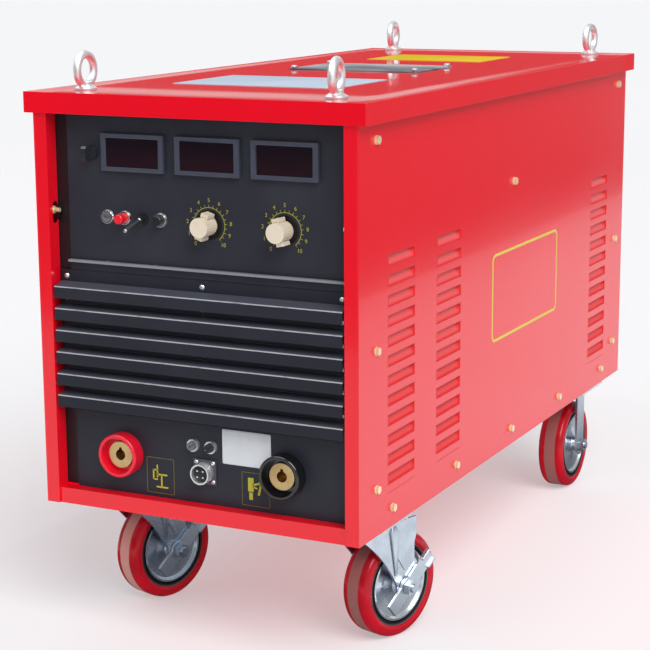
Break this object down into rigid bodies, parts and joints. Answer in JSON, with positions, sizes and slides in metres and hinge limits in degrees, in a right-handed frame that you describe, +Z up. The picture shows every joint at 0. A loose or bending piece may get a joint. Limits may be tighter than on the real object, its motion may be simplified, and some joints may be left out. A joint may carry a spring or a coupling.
{
  "type": "stud welder",
  "caption": "Red sheet-metal stud welding power source on casters with meters, knobs, switches, slatted front, welding sockets and lifting eyes.",
  "frame": {"origin": "on the floor, under the middle of the machine's bounding box", "axes": "+Z up, -Y out of the control panel, +X to the right as seen from the front"},
  "size_m": [0.504, 1.1532, 0.8059],
  "materials": {
    "cabinet_red": "glossy red powder coat",
    "panel_black": "satin charcoal paint",
    "inner_steel": "plain steel",
    "zinc": "bright zinc plate",
    "yellow_zinc": "yellow passivated zinc",
    "brass": "turned brass",
    "chrome": "polished chrome",
    "bezel_grey": "satin blue-grey plastic",
    "lens_dark": "dark red tinted window",
    "knob_cream": "moulded cream plastic",
    "button_red": "moulded red plastic",
    "collar_red": "moulded red insulator",
    "black_plastic": "black moulding",
    "lamp_clear": "clear domed window",
    "tyre_red": "red polyurethane",
    "core_iron": "laminated iron",
    "wheel_steel": "zinc plated wheel core",
    "winding": "varnished copper windings",
    "sink_aluminium": "extruded aluminium",
    "board_green": "lacquered circuit board",
    "breaker_grey": "pale grey moulding"
  },
  "bodies": {
    "cabinet": {"base_frame": "cabinet_red", "front_frame": "cabinet_red", "lifting_frame": "inner_steel", "top_cover": "cabinet_red", "left_side_panel": "cabinet_red", "right_side_panel": "cabinet_red", "rear_panel": "cabinet_red", "control_panel": "panel_black", "louvre_panel": "panel_black", "louvre_slats": "panel_black", "lower_panel": "panel_black", "meter_bezels": "bezel_grey", "meter_lenses": "lens_dark", "potentiometers": "zinc", "power_lamp": "lamp_clear", "control_bushes": "chrome", "red_socket_collar": "collar_red", "black_socket_collar": "black_plastic", "left_socket_insert": "brass", "right_socket_insert": "brass", "connector_shell": "chrome", "connector_insert": "black_plastic", "fuse_holders": "black_plastic", "eye_bolts": "zinc", "left_swivel_plate": "zinc", "right_swivel_plate": "zinc", "rear_left_fork": "zinc", "rear_right_fork": "zinc", "rear_axles": "zinc", "panel_bolts": "yellow_zinc", "front_screws": "zinc", "transformer_core": "core_iron", "transformer_coils": "winding", "rectifier": "sink_aluminium", "control_board": "board_green", "fan_frame": "black_plastic", "cable_gland": "black_plastic", "breaker_body": "breaker_grey"},
    "left_swivel": {"left_swivel_fork": "zinc", "left_swivel_axle": "zinc"},
    "right_swivel": {"right_swivel_fork": "zinc", "right_swivel_axle": "zinc"},
    "front_left_roller": {"front_left_wheel": "wheel_steel", "front_left_tyre": "tyre_red"},
    "front_right_roller": {"front_right_wheel": "wheel_steel", "front_right_tyre": "tyre_red"},
    "left_brake": {"left_brake_lever": "zinc"},
    "right_brake": {"right_brake_lever": "zinc"},
    "rear_left_roller": {"rear_left_wheel": "wheel_steel", "rear_left_tyre": "tyre_red"},
    "rear_right_roller": {"rear_right_wheel": "wheel_steel", "rear_right_tyre": "tyre_red"},
    "current_dial": {"current_knob": "knob_cream"},
    "time_dial": {"time_knob": "knob_cream"},
    "red_push": {"red_button": "button_red"},
    "black_push": {"black_button": "black_plastic"},
    "switch_lever": {"toggle_lever": "chrome"},
    "door_latch": {"panel_latch": "black_plastic"},
    "fan": {"fan_rotor": "black_plastic"},
    "main_switch": {"breaker_handle": "black_plastic"}
  },
  "joints": [
    {"name": "left_swivel_turn", "type": "hinge", "parent": "cabinet", "child": "left_swivel", "pos_m": [-0.183, -0.41645, 0.172], "axis": [0, 0, 1], "continuous": true},
    {"name": "front_left_roll", "type": "hinge", "parent": "left_swivel", "child": "front_left_roller", "pos_m": [-0.16736, -0.36685, 0.075], "axis": [0.9537, -0.3007, 0], "continuous": true},
    {"name": "left_brake_press", "type": "hinge", "parent": "left_swivel", "child": "left_brake", "pos_m": [-0.16736, -0.36685, 0.075], "axis": [0.9537, -0.3007, 0], "range_deg": [-18, 0]},
    {"name": "rear_left_roll", "type": "hinge", "parent": "cabinet", "child": "rear_left_roller", "pos_m": [-0.183, 0.41755, 0.075], "axis": [1, 0, 0], "continuous": true},
    {"name": "right_swivel_turn", "type": "hinge", "parent": "cabinet", "child": "right_swivel", "pos_m": [0.183, -0.41645, 0.172], "axis": [0, 0, 1], "continuous": true},
    {"name": "front_right_roll", "type": "hinge", "parent": "right_swivel", "child": "front_right_roller", "pos_m": [0.19864, -0.36685, 0.075], "axis": [0.9537, -0.3007, 0], "continuous": true},
    {"name": "right_brake_press", "type": "hinge", "parent": "right_swivel", "child": "right_brake", "pos_m": [0.19864, -0.36685, 0.075], "axis": [0.9537, -0.3007, 0], "range_deg": [-18, 0]},
    {"name": "rear_right_roll", "type": "hinge", "parent": "cabinet", "child": "rear_right_roller", "pos_m": [0.183, 0.41755, 0.075], "axis": [1, 0, 0], "continuous": true},
    {"name": "current_turn", "type": "hinge", "parent": "cabinet", "child": "current_dial", "pos_m": [0.016, -0.53095, 0.586], "axis": [0, -1, 0], "range_deg": [-120, 150]},
    {"name": "time_turn", "type": "hinge", "parent": "cabinet", "child": "time_dial", "pos_m": [0.127, -0.53095, 0.586], "axis": [0, -1, 0], "range_deg": [-150, 120]},
    {"name": "red_press", "type": "slide", "parent": "cabinet", "child": "red_push", "axis": [0, 1, 0], "range_m": [0, 0.004], "stiffness_N_per_m": 500},
    {"name": "black_press", "type": "slide", "parent": "cabinet", "child": "black_push", "axis": [0, 1, 0], "range_m": [0, 0.004], "stiffness_N_per_m": 500},
    {"name": "switch_flip", "type": "hinge", "parent": "cabinet", "child": "switch_lever", "pos_m": [-0.085, -0.53895, 0.588], "axis": [-1, 0, 0], "range_deg": [0, 32]},
    {"name": "latch_turn", "type": "hinge", "parent": "cabinet", "child": "door_latch", "pos_m": [-0.162, -0.53095, 0.673], "axis": [0, -1, 0], "range_deg": [0, 90]},
    {"name": "fan_spin", "type": "hinge", "parent": "cabinet", "child": "fan", "pos_m": [0, 0.52355, 0.515], "axis": [0, 1, 0], "continuous": true},
    {"name": "main_switch_flip", "type": "hinge", "parent": "cabinet", "child": "main_switch", "pos_m": [0.12, 0.54455, 0.275], "axis": [1, 0, 0], "range_deg": [0, 50]}
  ]
}
